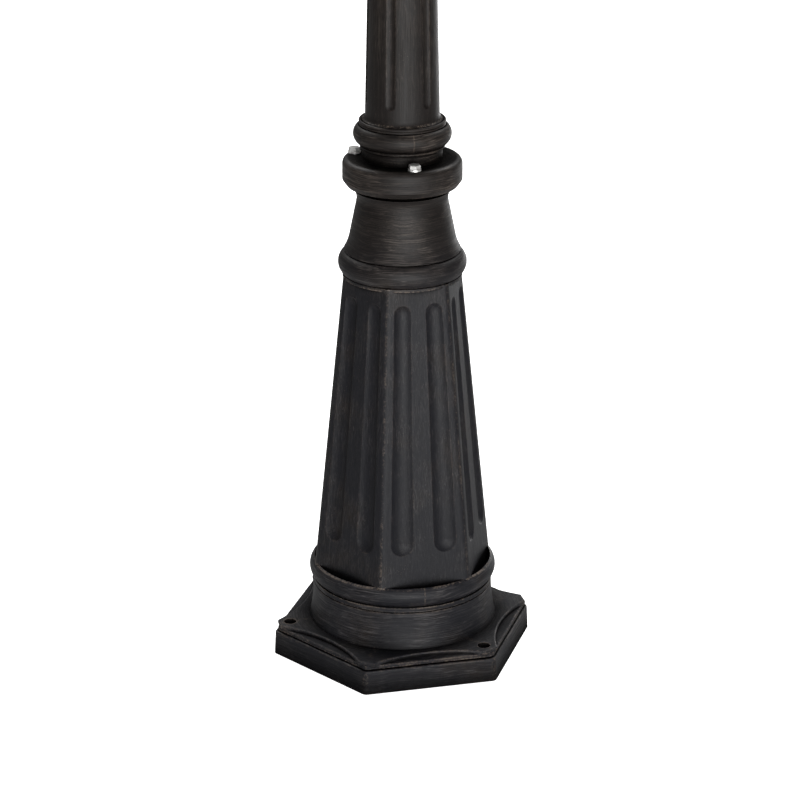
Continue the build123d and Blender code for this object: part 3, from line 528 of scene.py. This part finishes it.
def neckMoulding(name, start, look, edgeDrop):
    # the outline leaves the cone slowly, ends in a thin edge and closes inside the metal
    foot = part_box("column_casting")[1][2] - neckLook["height"]
    slope = (neckLook["headRadius"] - neckLook["footRadius"]) / neckLook["height"]
    outline = []
    for share in [0.0] + spread(0.0, 1.0, neckLook["points"]):
        level = start + look["from"] + (look["to"] - look["from"]) * share
        cone = neckLook["footRadius"] + slope * (level - foot)
        sunk = neckLook["buried"] * (1 - share) ** 6
        outline.append((cone + look["flare"] * share ** look["power"] - sunk, level))
    radius, level = outline[-1]
    outline.append((radius - edgeDrop / 4, level - edgeDrop))
    outline += [(neckLook["inside"], level - edgeDrop), (neckLook["inside"], outline[0][1])]
    piece = finishMesh(turnedMesh(outline, neckLook["steps"]), name, paintColumn)
    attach(piece, "post")


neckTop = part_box("column_casting")[1][2]
neckMoulding("neck_cove", neckTop, neckLook["cove"], 0.0)
neckMoulding("neck_lip", neckTop - neckLook["height"], neckLook["lip"], neckLook["lipEdge"])
print("neck: cove and lip added")


# floor as white as the photo's ground where it is seen, that throws little light back up
floorLook = {"half": 9.0, "seen": (0.94, 0.94, 0.94), "bounce": (0.30, 0.30, 0.30), "glow": 1.0,
             "gloss": 0.1875, "drop": 0.0005}
bm = bmesh.new()
bmesh.ops.create_grid(bm, x_segments=1, y_segments=1, size=floorLook["half"])
bmesh.ops.translate(bm, verts=bm.verts, vec=(0, 0, -floorLook["drop"]))
floorMesh = bpy.data.meshes.new("floor")
bm.to_mesh(floorMesh)
bm.free()
floor = bpy.data.objects.new("floor", floorMesh)
scene.collection.objects.link(floor)
ground = Finish("pale_floor")
direct = ground.add("ShaderNodeLightPath", {}, {}, "Is Camera Ray")
direct = direct.most(ground.add("ShaderNodeLightPath", {}, {}, "Is Transmission Ray"))
mirrored = ground.add("ShaderNodeLightPath", {}, {}, "Is Glossy Ray")
tone = 0.97 + ground.noise(ground.place, 0.4, 2.0) * 0.05
groundTone = ground.tint(ground.mix(direct, floorLook["bounce"], floorLook["seen"]), tone)
ground.done(Base_Color=groundTone, Roughness=0.9,
            Emission_Color=ground.grey(direct.most(mirrored * floorLook["gloss"])),
            Emission_Strength=floorLook["glow"])
floorMesh.materials.append(ground.material)

# photo's camera, fitted to the plinth's corners and the turned outlines
cameraLook = {"away": 2.756, "height": 1.311, "turn": -13.87, "tilt": 20.95, "lens": 136.9, "shift": -0.0030,
              "sensor": 36.0, "near": 0.05}
turn = Matrix.Rotation(math.radians(cameraLook["turn"]), 4, "Z")
cameraData = bpy.data.cameras.new("photo_camera")
cameraData.lens = cameraLook["lens"]
cameraData.sensor_width = cameraLook["sensor"]
cameraData.shift_x = cameraLook["shift"]
cameraData.clip_start = cameraLook["near"]
camera = bpy.data.objects.new("photo_camera", cameraData)
camera.location = turn @ Vector((0, -cameraLook["away"], cameraLook["height"]))
camera.rotation_euler = (math.radians(90 - cameraLook["tilt"]), 0, math.radians(cameraLook["turn"]))
scene.collection.objects.link(camera)
scene.camera = camera

# soft boxes, placed in the camera's own directions: right, forward, up
lightLook = {
    "key_front": {"at": (0.25, -2.4, 1.2), "size": (2.0, 1.2), "power": 27.0},
    "low_front": {"at": (0.3, -1.4, 0.05), "size": (1.4, 1.0), "power": 33.0},
    "rim_right": {"at": (0.85, 1.70, 0.20), "size": (1.2, 0.34), "power": 6.0},
    "back_left": {"at": (-1.4, 2.0, 2.9), "size": (1.2, 1.2), "power": 55.0},
    "back_right": {"at": (1.4, 2.0, 2.9), "size": (1.2, 1.2), "power": 55.0},
    "top": {"at": (0.0, 0.4, 3.8), "size": (3.2, 3.2), "power": 5.0},
}
lightAim = Vector((0, 0, 0.45))
for name, look in lightLook.items():
    data = bpy.data.lights.new(name, "AREA")
    data.shape = "RECTANGLE"
    data.size, data.size_y = look["size"]
    data.energy = look["power"]
    light = bpy.data.objects.new(name, data)
    light.visible_camera = False
    light.location = turn @ Vector(look["at"])
    light.rotation_euler = (lightAim - light.location).to_track_quat("-Z", "Y").to_euler()
    scene.collection.objects.link(light)
worldLook = {"light": 0.14, "seen": 1.0}
world = bpy.data.worlds.new("studio")
world.use_nodes = True
world.node_tree.nodes["Background"].inputs["Color"].default_value = (1, 1, 1, 1)
# white where it is seen, also through glass, and a weak light on everything else
path = world.node_tree.nodes.new("ShaderNodeLightPath")
seen = world.node_tree.nodes.new("ShaderNodeMath")
seen.operation = "MAXIMUM"
strength = world.node_tree.nodes.new("ShaderNodeMapRange")
strength.inputs["To Min"].default_value = worldLook["light"]
strength.inputs["To Max"].default_value = worldLook["seen"]
world.node_tree.links.new(path.outputs["Is Camera Ray"], seen.inputs[0])
world.node_tree.links.new(path.outputs["Is Transmission Ray"], seen.inputs[1])
world.node_tree.links.new(seen.outputs[0], strength.inputs["Value"])
world.node_tree.links.new(strength.outputs[0], world.node_tree.nodes["Background"].inputs["Strength"])
scene.world = world
scene.view_settings.view_transform = "Standard"  # the photo's white ground stays white
print("stage: floor, camera and", len(lightLook), "soft boxes")

bpy.context.view_layer.update()
